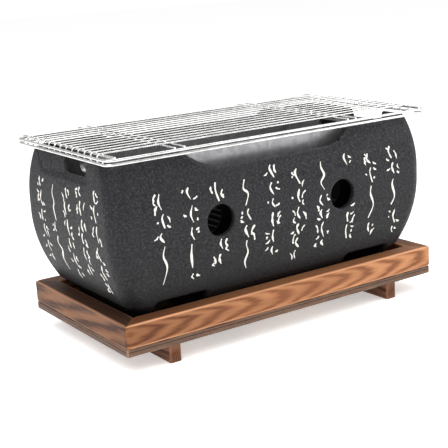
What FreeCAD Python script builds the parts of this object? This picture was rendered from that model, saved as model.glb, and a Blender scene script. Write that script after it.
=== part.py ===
import FreeCAD, Part
import math
import os

# Tabletop hibachi grill, in millimetres. X runs along the length, -Y is the front, Z is up,
# and the origin is on the surface it stands on, under the middle of the whole grill.

# Shapes are drawn about the middle of the tray. The net overhangs its left end, so the finished
# pieces all move right by this much to bring the middle of the whole grill to the origin.
tray_centre_x = 2.0

# ---- wooden tray ----
tray_length = 300.0
tray_width = 154.0
foot_height = 15.0
foot_width = 10.0
foot_length = 147.0
foot_centre_x = 108.0
panel_thickness = 6.0
rail_height = 18.0
rail_thickness = 15.0
wood_edge_radius = 1.2
brad_diameter = 1.6
brad_head_diameter = 3.6
brad_head_height = 0.8
brad_reach = 11.0
long_rail_brad_x = (-130.0, -45.0, 45.0, 130.0)
end_rail_brad_y = (-32.0, 32.0)
foot_brad_y = (-55.0, 0.0, 55.0)
foot_brad_well = 6.0
foot_brad_stop = 1.0

# ---- cast fire body ----
# The casting and the net stand loose, a little to the left of the tray's middle.
body_centre_x = -3.6
rest_gap = 0.3
wall = 5.0
body_half_length = 148.7
body_half_width = 75.8
body_corner_radius = 14.0
body_height = 133.0
belly_low = 101.0
belly_high = 111.0
length_curve_below = 112.0
length_curve_above = 231.0
width_curve_below = 161.0
width_curve_above = 83.0
skirt_start = 45.0
skirt_half_length = 117.0
skirt_half_width = 55.0
skirt_heights = (29.0, 37.0, 45.0)
wall_heights = (62.0, 73.0, 86.0, 101.0, 111.0, 124.0, 140.0)
floor_under = 49.0
floor_thickness = 4.0
vent_diameter = 24.0
vent_x = 58.8
vent_height = 100.7
side_notch_half_top = 78.6
side_notch_half_bottom = 67.6
side_notch_floor = 141.0
side_notch_radius = 14.0
side_notch_bevel = 4.0
bevel_outside = 0.5
bevel_inside = 10.0
scoop_half_top = 50.0
scoop_half_bottom = 40.0
scoop_floor = 137.0
scoop_radius = 14.0
scoop_depth = 3.5
scoop_curve = 357.0
hand_hole_half_top = 20.0
hand_hole_half_bottom = 17.0
hand_hole_floor = 140.0
hand_hole_radius = 5.0
hand_hole_y = -14.0
end_cut_outside = 8.0
end_cut_inside = 25.0
air_notch_inner_x = 68.0
air_notch_outer_x = 114.0
air_notch_top = 47.0
air_notch_radius = 4.0

# ---- sheet-metal liner ----
sheet = 0.8
liner_length = 240.0
liner_centre_x = -8.0
liner_half_width = 54.0
liner_top = 152.0
liner_flange = 8.0
liner_vent_diameter = 30.0
finger_slot_length = 38.0
finger_slot_height = 12.0
finger_slot_centre_z = 141.0
finger_slot_lip = 2.4

# ---- charcoal grate ----
grate_wire = 3.0
grate_bar = 2.5
grate_half_length = 112.0
grate_half_width = 49.0
grate_corner_radius = 8.0
grate_frame_height = 22.0
grate_bar_count = 19
grate_leg_x = 70.0
grate_leg_bend = 5.0

# ---- grill net ----
frame_wire = 2.0
net_half_length = 150.4
net_half_width = 76.7
net_corner_radius = 6.0
frame_spacing = 3.1
rod_wire = 1.8
cross_rod_x = (-95.0, -87.0, 66.0, 74.0)
end_rod_x = 143.4
long_wire = 1.3
long_wire_count = 13
long_wire_pitch = 9.8
hook_bend = 2.6
weld_sink = 0.3
weld_bead_diameter = 1.6

# ---- heights worked out from the sizes above ----
panel_top = foot_height + panel_thickness
tray_top = panel_top + rail_height
body_bottom = panel_top + rest_gap
rim = panel_top + body_height
floor_top = floor_under + floor_thickness
liner_bottom = floor_top + rest_gap
grate_leg_bottom = liner_bottom + sheet + rest_gap
grate_frame_z = grate_leg_bottom + grate_frame_height
lower_frame_z = rim + rest_gap + frame_wire / 2
upper_frame_z = lower_frame_z + frame_spacing
rod_z = upper_frame_z + frame_wire / 2 + rod_wire / 2 - weld_sink
long_wire_z = rod_z + rod_wire / 2 + long_wire / 2 - weld_sink

X_AXIS = FreeCAD.Vector(1, 0, 0)
Y_AXIS = FreeCAD.Vector(0, 1, 0)
Z_AXIS = FreeCAD.Vector(0, 0, 1)


def vec(x, y, z):
    return FreeCAD.Vector(x, y, z)


def box(low, high):
    """Block between two opposite corners."""
    size = [b - a for a, b in zip(low, high)]
    return Part.makeBox(size[0], size[1], size[2], vec(*low))


def rod(start, end, diameter):
    """Round bar between two points."""
    start, end = vec(*start), vec(*end)
    return Part.makeCylinder(diameter / 2, (end - start).Length, start, end - start)


def rounded_path(points, radius, closed):
    """Wire through the points, each turn replaced by an arc of the given radius."""
    points = [vec(*p) for p in points]
    count = len(points)
    turns = range(count) if closed else range(1, count - 1)
    entries, exits, arcs = {}, {}, {}
    for i in turns:
        back = (points[i - 1] - points[i]).normalize()
        ahead = (points[(i + 1) % count] - points[i]).normalize()
        if (back + ahead).Length < 1e-6:
            continue
        half = math.acos(max(-1.0, min(1.0, back.dot(ahead)))) / 2
        reach = radius / math.tan(half)
        entries[i] = points[i] + back * reach
        exits[i] = points[i] + ahead * reach
        middle = (back + ahead).normalize()
        arcs[i] = points[i] + middle * (radius / math.sin(half) - radius)
    edges = []
    for i in range(count if closed else count - 1):
        j = (i + 1) % count
        start = exits.get(i, points[i])
        end = entries.get(j, points[j])
        if (end - start).Length > 1e-6:
            edges.append(Part.LineSegment(start, end).toShape())
        if j in arcs:
            edges.append(Part.Arc(entries[j], arcs[j], exits[j]).toShape())
    return Part.Wire(edges)


def rounded_prism(points, radius, direction):
    """Solid with a rounded outline, carried along a direction."""
    return Part.Face(rounded_path(points, radius, True)).extrude(direction)


def bent_rod(points, radius, diameter, closed=False):
    """Round wire bent along a path, swept run by run and joined."""
    path = rounded_path(points, radius, closed)
    start = path.Edges[0]
    tangent = start.tangentAt(start.FirstParameter)
    section = Part.Wire(Part.makeCircle(diameter / 2, start.valueAt(start.FirstParameter), tangent))
    shape = path.makePipeShell([section], True, False)
    return shape if shape.ShapeType == "Solid" else Part.Solid(shape)


def rounded_rectangle(half_x, half_y, z, centre_x=0.0):
    """Corner points of a level rectangle."""
    corners = ((-half_x, -half_y), (half_x, -half_y), (half_x, half_y), (-half_x, half_y))
    return [(centre_x + x, y, z) for x, y in corners]


# ---- wooden tray ----

def rail(length, side_angle):
    """Mitred rail along the front, turned about Z to its own side of the tray."""
    across = tray_width if length == tray_length else tray_length
    y_out = -across / 2
    y_in = y_out + rail_thickness
    profile = [(-length / 2, y_out, panel_top), (-length / 2, y_in, panel_top),
               (-length / 2, y_in, tray_top), (-length / 2, y_out, tray_top)]
    stock = rounded_prism(profile, wood_edge_radius, X_AXIS * length)
    mitre = [(-length / 2, y_out, 0), (length / 2, y_out, 0),
             (length / 2 - rail_thickness, y_in, 0), (-length / 2 + rail_thickness, y_in, 0)]
    keep = Part.Face(Part.makePolygon([vec(*p) for p in mitre + mitre[:1]]))
    keep = keep.extrude(Z_AXIS * (tray_top + 1))
    shape = stock.common(keep)
    shape.rotate(vec(0, 0, 0), Z_AXIS, side_angle)
    return shape


def brad(x, y, bottom, reach):
    """Headed brad driven upwards from a surface at the given height."""
    head = rod((x, y, bottom), (x, y, bottom + brad_head_height), brad_head_diameter)
    shank = rod((x, y, bottom), (x, y, bottom + reach), brad_diameter)
    return head.fuse(shank).removeSplitter()


def make_tray(parts):
    rails = {
        "tray_front_board": rail(tray_length, 0),
        "tray_right_board": rail(tray_width, 90),
        "tray_back_board": rail(tray_length, 180),
        "tray_left_board": rail(tray_width, 270),
    }
    outline = rounded_rectangle(tray_length / 2, tray_width / 2, foot_height)
    panel = rounded_prism(outline, wood_edge_radius, Z_AXIS * panel_thickness)
    feet = {}
    for name, x in (("tray_foot_left", -foot_centre_x), ("tray_foot_right", foot_centre_x)):
        outline = rounded_rectangle(foot_width / 2, foot_length / 2, 0, x)
        feet[name] = rounded_prism(outline, wood_edge_radius, Z_AXIS * foot_height)

    rail_y = tray_width / 2 - rail_thickness / 2
    rail_x = tray_length / 2 - rail_thickness / 2
    spots = [(x, side * rail_y) for side in (-1, 1) for x in long_rail_brad_x]
    spots += [(side * rail_x, y) for side in (-1, 1) for y in end_rail_brad_y]
    rail_brads = [brad(x, y, foot_height, panel_thickness + brad_reach) for x, y in spots]

    foot_spots = [(side * foot_centre_x, y) for side in (-1, 1) for y in foot_brad_y]
    foot_reach = panel_top - foot_brad_stop - foot_brad_well
    foot_brads = [brad(x, y, foot_brad_well, foot_reach) for x, y in foot_spots]
    wells = [rod((x, y, -1), (x, y, foot_brad_well), brad_head_diameter) for x, y in foot_spots]

    for name in rails:
        rails[name] = rails[name].cut(Part.makeCompound(rail_brads))
    panel = panel.cut(Part.makeCompound(rail_brads + foot_brads))
    for name in feet:
        feet[name] = feet[name].cut(Part.makeCompound(foot_brads + wells))

    parts.update(rails)
    parts["tray_bottom_panel"] = panel
    parts.update(feet)
    parts["rail_brads"] = Part.makeCompound(rail_brads)
    parts["foot_brads"] = Part.makeCompound(foot_brads)


# ---- cast fire body ----

def arc_drop(distance, radius):
    """How far a circular arc has curved in at a distance from its widest point."""
    return radius - math.sqrt(radius ** 2 - distance ** 2)


def belly(z, widest, curve_below, curve_above, skirt_half):
    """Half size of the casting at a height: a barrel that ends in a narrower skirt."""
    if z > belly_high:
        return widest - arc_drop(z - belly_high, curve_above)
    if z >= belly_low:
        return widest
    if z >= skirt_start:
        return widest - arc_drop(belly_low - z, curve_below)
    at_start = widest - arc_drop(belly_low - skirt_start, curve_below)
    part_way = max(0.0, (z - body_bottom) / (skirt_start - body_bottom))
    return skirt_half + (at_start - skirt_half) * part_way ** 2


def half_length_at(z):
    return belly(z, body_half_length, length_curve_below, length_curve_above, skirt_half_length)


def half_width_at(z):
    return belly(z, body_half_width, width_curve_below, width_curve_above, skirt_half_width)


def body_section(z, inset):
    """Rounded rectangular section of the casting, stepped in by the wall or not."""
    corners = rounded_rectangle(half_length_at(z) - inset, half_width_at(z) - inset, z)
    return rounded_path(corners, body_corner_radius - inset, True)


def body_form(heights, inset):
    return Part.makeLoft([body_section(z, inset) for z in heights], True, False)


def trapezoid(half_top, half_bottom, bottom):
    """Outline of a notch that is open upwards, as pairs along and up."""
    top = rim + 60.0
    slope = (half_top - half_bottom) / (rim - bottom)
    half_end = half_top + slope * (top - rim)
    return [(-half_bottom, bottom), (half_bottom, bottom), (half_end, top), (-half_end, top)]


def side_notch_outline(grow, side, depth):
    """Outline of a front or back rim notch, grown all round, on a plane leaning with the wall."""
    flat = trapezoid(side_notch_half_top + grow, side_notch_half_bottom + grow,
                     side_notch_floor - grow)
    low_y = half_width_at(side_notch_floor)
    lean = (half_width_at(rim) - low_y) / (rim - side_notch_floor)
    points = [(x, side * (low_y - depth + lean * (z - side_notch_floor)), z) for x, z in flat]
    return rounded_path(points, side_notch_radius + grow, True)


def side_notch_cut(side):
    """Wide notch through the front or back rim, with a soft bevel on its outside."""
    flat = trapezoid(side_notch_half_top, side_notch_half_bottom, side_notch_floor)
    notch = rounded_prism([(x, 0, z) for x, z in flat], side_notch_radius,
                          Y_AXIS * side * (body_half_width + 4.0))
    outside = side_notch_outline(side_notch_bevel, side, -bevel_outside)
    inside = side_notch_outline(-side_notch_bevel, side, bevel_inside)
    return [notch, Part.makeLoft([outside, inside], True, True)]


def scoop_cut(side):
    """Shallow hand scoop in an end wall, following its lean, with a notch cut through it."""
    x_far = side * (body_half_length + end_cut_outside)
    x_near = side * (body_half_length - end_cut_inside)
    inward = X_AXIS * (x_near - x_far)
    flat = trapezoid(scoop_half_top, scoop_half_bottom, scoop_floor)
    prism = rounded_prism([(x_far, y, z) for y, z in flat], scoop_radius, inward)
    high_x = half_length_at(rim)
    lean = vec(side * (high_x - half_length_at(scoop_floor)), 0, rim - scoop_floor).normalize()
    centre = vec(side * (high_x - scoop_depth + scoop_curve), 0, rim) - lean * 40.0
    bowl = Part.makeCylinder(scoop_curve, 80.0, centre, lean)
    flat = trapezoid(hand_hole_half_top, hand_hole_half_bottom, hand_hole_floor)
    hole = rounded_prism([(x_far, hand_hole_y + y, z) for y, z in flat], hand_hole_radius, inward)
    return prism.common(bowl).fuse(hole)


def vent_cut(x, diameter):
    """Round bar that drills one front vent and the back vent in line with it."""
    reach = body_half_width + 5.0
    return rod((x, -reach, vent_height), (x, reach, vent_height), diameter)


def air_notch_cut(side):
    """Low opening through the front and back skirts beside each foot of the casting."""
    middle = (air_notch_inner_x + air_notch_outer_x) / 2
    half = (air_notch_outer_x - air_notch_inner_x) / 2
    low = body_bottom - 10.0
    outline = [(side * middle + a, -body_half_width, z)
               for a, z in ((-half, low), (half, low), (half, air_notch_top), (-half, air_notch_top))]
    return rounded_prism(outline, air_notch_radius, Y_AXIS * 2 * body_half_width)


def make_fire_body(parts):
    outer = body_form((body_bottom,) + skirt_heights + (floor_top,) + wall_heights + (rim,), 0)
    chamber = body_form((floor_top,) + wall_heights + (rim, rim + 6), wall)
    under = body_form((body_bottom - 4, body_bottom) + skirt_heights + (floor_under,), wall)
    shape = outer.cut(chamber).cut(under)
    for side in (-1, 1):
        for cutter in side_notch_cut(side):
            shape = shape.cut(cutter)
        shape = shape.cut(scoop_cut(side)).cut(air_notch_cut(side))
        shape = shape.cut(vent_cut(side * vent_x, vent_diameter))
    shape.translate(X_AXIS * body_centre_x)
    parts["fire_body"] = shape


# ---- sheet-metal liner ----

def slot_outline(x, length, height):
    half, up = length / 2, height / 2
    z = finger_slot_centre_z
    return [(x, -half, z - up), (x, half, z - up), (x, half, z + up), (x, -half, z + up)]


def liner_end(side):
    """End plate with folded side flanges and a finger slot with a turned-in lip."""
    outside = liner_centre_x + side * liner_length / 2
    inside = outside - side * sheet
    half_y = liner_half_width - sheet
    low = liner_bottom + sheet
    x_pair = sorted((outside, inside))
    plate = box((x_pair[0], -half_y, low), (x_pair[1], half_y, liner_top))
    flange_end = inside - side * liner_flange
    x_pair = sorted((inside, flange_end))
    for y in (-half_y, half_y - sheet):
        plate = plate.fuse(box((x_pair[0], y, low), (x_pair[1], y + sheet, liner_top)))
    lip_radius = finger_slot_height / 2 - 0.01
    lip = rounded_prism(slot_outline(outside, finger_slot_length, finger_slot_height),
                        lip_radius, X_AXIS * (-side * (sheet + finger_slot_lip)))
    gap = rounded_prism(slot_outline(outside + side, finger_slot_length - 2 * sheet,
                                     finger_slot_height - 2 * sheet),
                        lip_radius - sheet, X_AXIS * (-side * 12.0))
    return plate.fuse(lip).cut(gap).removeSplitter()


def make_liner(parts):
    x0 = liner_centre_x - liner_length / 2
    x1 = liner_centre_x + liner_length / 2
    half = liner_half_width
    outer = box((x0, -half, liner_bottom), (x1, half, liner_top))
    inner = box((x0 - 1, -half + sheet, liner_bottom + sheet), (x1 + 1, half - sheet, liner_top + 1))
    wrap = outer.cut(inner)
    for side in (-1, 1):
        wrap = wrap.cut(vent_cut(body_centre_x + side * vent_x, liner_vent_diameter))
    parts["liner_wrapper"] = wrap
    parts["liner_left_end"] = liner_end(-1)
    parts["liner_right_end"] = liner_end(1)


# ---- charcoal grate ----

def make_charcoal_grate(parts):
    half_x = grate_half_length - grate_wire / 2
    half_y = grate_half_width - grate_wire / 2
    loop = rounded_rectangle(half_x, half_y, grate_frame_z, liner_centre_x)
    start = ((loop[0][0] + loop[1][0]) / 2, loop[0][1], loop[0][2])
    parts["charcoal_grate_frame"] = bent_rod([start] + loop[1:] + loop[:1], grate_corner_radius,
                                             grate_wire, closed=True)
    bar_z = grate_frame_z + grate_wire / 2 + grate_bar / 2 - weld_sink
    span = 2 * (half_x - grate_corner_radius)
    pitch = span / (grate_bar_count - 1)
    bars = []
    for i in range(grate_bar_count):
        x = liner_centre_x - span / 2 + i * pitch
        bars.append(rod((x, -half_y - 1, bar_z), (x, half_y + 1, bar_z), grate_bar))
    parts["charcoal_grate_bars"] = Part.makeCompound(bars)
    foot_z = grate_leg_bottom + grate_wire / 2
    top_z = grate_frame_z - grate_wire / 2 + weld_sink
    legs = []
    for side in (-1, 1):
        x = liner_centre_x + side * grate_leg_x
        legs.append(bent_rod([(x, -half_y, top_z), (x, -half_y, foot_z),
                              (x, half_y, foot_z), (x, half_y, top_z)], grate_leg_bend, grate_wire))
    parts["charcoal_grate_legs"] = Part.makeCompound(legs)


# ---- grill net ----

def net_loop(z):
    """Frame wire bent into a rectangle with rounded corners."""
    half_x = net_half_length - frame_wire / 2
    half_y = net_half_width - frame_wire / 2
    loop = rounded_rectangle(half_x, half_y, z)
    return bent_rod([(0, -half_y, z)] + loop[1:] + loop[:1], net_corner_radius, frame_wire, closed=True)


def make_net(parts):
    half_x = net_half_length - frame_wire / 2
    half_y = net_half_width - frame_wire / 2
    parts["net_lower_frame"] = net_loop(lower_frame_z)
    upper = net_loop(upper_frame_z)
    for x in (-half_x, half_x):
        for y in (-half_y + net_corner_radius, half_y - net_corner_radius):
            bead = rod((x, y, lower_frame_z + frame_wire / 2 - weld_sink), (x, y, upper_frame_z),
                       weld_bead_diameter)
            upper = upper.fuse(bead)
    parts["net_upper_frame"] = upper

    rod_end = net_half_width - frame_wire / 4
    cross = [rod((x, -rod_end, rod_z), (x, rod_end, rod_z), rod_wire) for x in cross_rod_x]
    parts["net_cross_rods"] = Part.makeCompound(cross)
    ends = [rod((side * end_rod_x, -rod_end, rod_z), (side * end_rod_x, rod_end, rod_z), rod_wire)
            for side in (-1, 1)]
    parts["net_end_rods"] = Part.makeCompound(ends)

    hook_x = half_x - frame_wire / 2 - long_wire / 2 + weld_sink
    hook_low = lower_frame_z - frame_wire / 4
    wires = []
    for i in range(long_wire_count):
        y = (i - (long_wire_count - 1) / 2) * long_wire_pitch
        wires.append(bent_rod([(-hook_x, y, hook_low), (-hook_x, y, long_wire_z),
                               (hook_x, y, long_wire_z), (hook_x, y, hook_low)], hook_bend, long_wire))
    parts["net_long_wires"] = Part.makeCompound(wires)

    for name in ("net_lower_frame", "net_upper_frame", "net_cross_rods", "net_end_rods",
                 "net_long_wires"):
        parts[name].translate(X_AXIS * body_centre_x)


def main():
    parts = {}
    make_tray(parts)
    make_fire_body(parts)
    make_liner(parts)
    make_charcoal_grate(parts)
    make_net(parts)
    os.makedirs("parts", exist_ok=True)
    for name, shape in parts.items():
        if not shape.isValid():
            raise RuntimeError(name + " is not a valid shape")
        shape.translate(X_AXIS * tray_centre_x)
        shape.exportStep("parts/" + name + ".step")
        bounds = shape.BoundBox
        print("%-22s solids %2d  volume %9.0f  z %6.1f to %6.1f"
              % (name, len(shape.Solids), shape.Volume, bounds.ZMin, bounds.ZMax))


main()
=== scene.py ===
import bmesh
import bpy
import math
import random
import numpy as np
from mathutils import Matrix, Vector, noise


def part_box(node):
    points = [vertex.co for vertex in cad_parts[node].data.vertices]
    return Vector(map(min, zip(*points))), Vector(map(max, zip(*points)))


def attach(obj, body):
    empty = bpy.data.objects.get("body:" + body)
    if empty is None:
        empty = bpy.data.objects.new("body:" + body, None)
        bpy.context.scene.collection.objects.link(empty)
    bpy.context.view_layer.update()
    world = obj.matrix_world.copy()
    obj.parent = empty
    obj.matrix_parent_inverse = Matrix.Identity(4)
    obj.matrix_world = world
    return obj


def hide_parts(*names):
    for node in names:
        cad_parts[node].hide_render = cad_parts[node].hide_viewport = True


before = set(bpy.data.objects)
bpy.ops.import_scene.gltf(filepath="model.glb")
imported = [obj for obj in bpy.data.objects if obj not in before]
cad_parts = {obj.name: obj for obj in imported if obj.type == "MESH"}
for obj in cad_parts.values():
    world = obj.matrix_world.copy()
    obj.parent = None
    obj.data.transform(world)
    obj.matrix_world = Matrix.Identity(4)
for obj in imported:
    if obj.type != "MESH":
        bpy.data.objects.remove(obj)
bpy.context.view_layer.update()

# Looks of a tabletop hibachi grill. Sizes are millimetres until a mesh is made of them.
MM = 0.001


def node_box(node):
    """Lowest and highest corner of a CAD node, in millimetres."""
    low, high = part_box(node)
    return np.array(low) / MM, np.array(high) / MM


# ---- sizes taken from the frame ----
body_low, body_high = node_box("fire_body")
body_centre_x = (body_low[0] + body_high[0]) / 2
body_half_length = (body_high[0] - body_low[0]) / 2
front_low, front_high = node_box("tray_front_board")
panel_low, panel_high = node_box("tray_bottom_panel")
tray_centre_x = (panel_low[0] + panel_high[0]) / 2
foot_low, foot_high = node_box("tray_foot_right")
net_low, net_high = node_box("net_lower_frame")
net_centre_x = (net_low[0] + net_high[0]) / 2
upper_high = node_box("net_upper_frame")[1]
long_low, long_high = node_box("net_long_wires")
cross_high = node_box("net_cross_rods")[1]
end_low, end_high = node_box("net_end_rods")
grate_low, grate_high = node_box("charcoal_grate_frame")
bars_low, bars_high = node_box("charcoal_grate_bars")
legs_low, legs_high = node_box("charcoal_grate_legs")

# ---- cast fire body ----
wall = 5.0
body_corner_radius = 14.0
belly_low = 101.0
belly_high = 111.0
length_curve_below = 112.0
length_curve_above = 231.0
width_curve_below = 161.0
width_curve_above = 83.0
skirt_start = 45.0
skirt_half_length = 117.0
skirt_half_width = 55.0
floor_under = 49.0
floor_top = 53.0
vent_radius = 12.0
vent_x = 58.8
vent_height = 100.7
# Notches open upwards: half width at the rim, half width at the bottom, height of the bottom.
side_notch = (78.6, 67.6, 141.0)
side_notch_bevel = 3.6
scoop_notch = (50.0, 40.0, 137.0)
scoop_depth = 2.6
scoop_curve = 357.0
hand_notch = (20.0, 17.0, 140.0)
hand_hole_y = -14.0
air_notch_x = 91.0
air_notch_half = 23.0
air_notch_top = 47.0
air_notch_radius = 4.0
cast_edge = 2.4
drilled_edge = 1.1
cast_cell = 1.7
floor_round = 3.0
side_notch_round = 16.0
scoop_round = 5.0
hand_hole_round = 3.0
hand_hole_reach = 25.0
bevel_reach = 1.5
soot_fade = 1.5
soot_depth = 45.0
soot_at_rim = 0.35
# painted shade: how dark the bores of the vents are made
bore_shade = 0.9

# ---- brush marks ----
stroke_width = 1.6
stroke_section = ((-1.0, -0.25), (-0.92, 0.08), (-0.45, 0.16),
                  (0.45, 0.16), (0.92, 0.08), (1.0, -0.25))
vent_clearance = 13.4
column_top = (127, 135)
column_foot = (54, 66)
short_pull = 15.0
long_pull = 34.0
long_pull_chance = 0.12

# ---- wooden tray ----
wood_edge = 1.3
mitre_groove = 0.35
board_stations = 90
board_face_dip = 0.3
board_top_dip = 0.25
char_depth = 0.9
front_char = 0.45
side_char = 0.6
left_char = 0.93
ply_profile = ((0.0, 0.6), (0.5, 0.1), (1.9, 0.0), (2.1, 0.25), (2.4, 0.05),
               (3.7, 0.0), (3.9, 0.3), (4.2, 0.05))

# ---- wires ----
frame_wire = 2.0
rod_wire = 1.8
cross_rod_x = (-95.0, -87.0, 66.0, 74.0)
long_wire = 1.3
long_wire_count = 13
grate_wire = 3.0
grate_bar = 2.5
grate_bar_count = 19
net_corner_radius = 6.0
hook_bend = 2.6
grate_corner_radius = 8.0
grate_leg_bend = 5.0
crossing_bead = 1.7
corner_bead = 1.6

# ---- brads ----
brad_head = 3.6
brad_shank = 1.6
brad_head_height = 0.8
brad_proud = 0.15
brad_well = 6.0
foot_brad_y = (-55.0, 0.0, 55.0)
long_rail_brad_x = (-130.0, -45.0, 45.0, 130.0)
end_rail_brad_y = (-32.0, 32.0)


# ---- small helpers ----

def put(tree, kind, inputs=None, **settings):
    """Adds a node with its settings, and fills or links its inputs by name or number."""
    made = tree.nodes.new(kind)
    for name, value in settings.items():
        setattr(made, name, value)
    for key, value in (inputs or {}).items():
        if isinstance(value, bpy.types.NodeSocket):
            tree.links.new(value, made.inputs[key])
        else:
            made.inputs[key].default_value = value
    return made


def outward(mesh):
    """Turns every face of a closed mesh outwards."""
    work = bmesh.new()
    work.from_mesh(mesh)
    bmesh.ops.recalc_face_normals(work, faces=work.faces)
    work.to_mesh(mesh)
    work.free()


def mesh_of(name, points, faces):
    """Mesh in metres from points in millimetres."""
    mesh = bpy.data.meshes.new(name)
    mesh.from_pydata((np.asarray(points) * MM).tolist(), [], faces)
    return mesh


def paint_points(mesh, name, values):
    """Stores one number for each point, for the material to read."""
    attribute = mesh.attributes.new(name, "FLOAT", "POINT")
    attribute.data.foreach_set("value", np.asarray(values, np.float32))


def smooth_by_angle(mesh, degrees=40):
    mesh.shade_smooth()
    mesh.set_sharp_from_angle(angle=math.radians(degrees))


def add_piece(mesh, finish, body, slot, *nodes):
    """Puts a finished mesh on its body, in place of its CAD nodes."""
    piece = bpy.data.objects.new(mesh.name, mesh)
    bpy.context.scene.collection.objects.link(piece)
    mesh.materials.clear()
    mesh.materials.append(finish)
    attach(piece, body)
    if nodes:
        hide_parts(*nodes)
    return piece


def loft(rings):
    """Points and faces of a skin over equal rings, closed at both ends."""
    count = len(rings[0])
    faces = []
    for i in range(len(rings) - 1):
        for j in range(count):
            k = (j + 1) % count
            faces.append((i * count + j, i * count + k, (i + 1) * count + k, (i + 1) * count + j))
    last = (len(rings) - 1) * count
    faces.append(tuple(range(count))[::-1])
    faces.append(tuple(range(last, last + count)))
    return np.concatenate(rings), faces


# ---- materials ----

def new_material(name, roughness, metallic=0.0):
    """Material with its shader, and the piece's own coordinates."""
    material = bpy.data.materials.new(name)
    material.use_nodes = True
    tree = material.node_tree
    shader = tree.nodes["Principled BSDF"]
    shader.inputs["Roughness"].default_value = roughness
    shader.inputs["Metallic"].default_value = metallic
    place = put(tree, "ShaderNodeTexCoord").outputs["Object"]
    return material, tree, shader, place


def ramp(tree, factor, stops):
    """Colour ramp through (position, colour) stops."""
    made = put(tree, "ShaderNodeValToRGB", {"Fac": factor})
    points = made.color_ramp.elements
    while len(points) < len(stops):
        points.new(0.5)
    for point, (position, colour) in zip(points, stops):
        point.position = position
        point.color = (*colour, 1)
    return made.outputs["Color"]


def grain_noise(tree, place, scale, detail=4.0, roughness=0.55):
    made = put(tree, "ShaderNodeTexNoise",
               {"Vector": place, "Scale": scale, "Detail": detail, "Roughness": roughness})
    return made.outputs["Fac"]


def spread(tree, factor, low, high, to_low=0.0, to_high=1.0):
    """Factor remapped and clamped between two ends."""
    made = put(tree, "ShaderNodeMapRange",
               {"Value": factor, "From Min": low, "From Max": high,
                "To Min": to_low, "To Max": to_high})
    return made.outputs["Result"]


def combine(tree, operation, first, second):
    return put(tree, "ShaderNodeMath", {0: first, 1: second}, operation=operation).outputs[0]


def mix(tree, factor, first, second, blend="MIX"):
    """Colour mixed from two, by a factor."""
    made = put(tree, "ShaderNodeMix", data_type="RGBA", blend_type=blend)
    for key, value in ((0, factor), (6, first), (7, second)):
        if isinstance(value, bpy.types.NodeSocket):
            tree.links.new(value, made.inputs[key])
        else:
            made.inputs[key].default_value = value if key == 0 else (*value, 1)
    return made.outputs[2]


def bump(tree, shader, height, distance, strength=1.0):
    made = put(tree, "ShaderNodeBump",
               {"Height": height, "Distance": distance, "Strength": strength})
    tree.links.new(made.outputs["Normal"], shader.inputs["Normal"])


def point_value(tree, name):
    return put(tree, "ShaderNodeAttribute", attribute_name=name).outputs["Fac"]


def height_of(tree, place):
    return put(tree, "ShaderNodeSeparateXYZ", {0: place}).outputs["Z"]


def cast_coating():
    """Dark heat-proof coating with a fine speckle, sooty inside, with painted shade low down and in
    the vent bores.
    """
    material, tree, shader, place = new_material("cast_coating", 0.5)
    shader.inputs["Specular IOR Level"].default_value = 0.2
    speckle = grain_noise(tree, place, 620, 3.0, 0.6)
    colour = ramp(tree, speckle, ((0.34, (0.006, 0.006, 0.0072)), (0.5, (0.014, 0.014, 0.016)),
                                  (0.7, (0.045, 0.045, 0.049))))
    cloud = grain_noise(tree, place, 28, 3.0)
    colour = mix(tree, spread(tree, cloud, 0.35, 0.7, 0.0, 0.35), colour, (0.02, 0.02, 0.022))
    # painted shade: the coating darkens towards the bottom, near the tray
    dark_below, full_above = 0.03, 0.10
    low_painted_shade = spread(tree, height_of(tree, place), dark_below, full_above, 0.85, 0.0)
    colour = mix(tree, low_painted_shade, colour, (0.006, 0.006, 0.0065))
    # sooty fire-chamber walls, and painted shade in the vent bores
    soot_and_shade = point_value(tree, "soot_and_shade")
    colour = mix(tree, soot_and_shade, colour, (0.0045, 0.0042, 0.004))
    tree.links.new(colour, shader.inputs["Base Color"])
    rough = spread(tree, speckle, 0.3, 0.7, 0.62, 0.42)
    tree.links.new(combine(tree, "MAXIMUM", rough, soot_and_shade), shader.inputs["Roughness"])
    bump(tree, shader, speckle, 0.0002, 0.5)
    return material


def brush_paint():
    """Cream paint, laid on with a brush."""
    material, tree, shader, place = new_material("brush_paint", 0.5)
    streak = grain_noise(tree, place, 900, 3.0)
    colour = ramp(tree, streak, ((0.3, (0.6, 0.57, 0.52)), (0.6, (0.86, 0.84, 0.79))))
    tree.links.new(colour, shader.inputs["Base Color"])
    bump(tree, shader, streak, 0.0001, 0.4)
    return material


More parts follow.
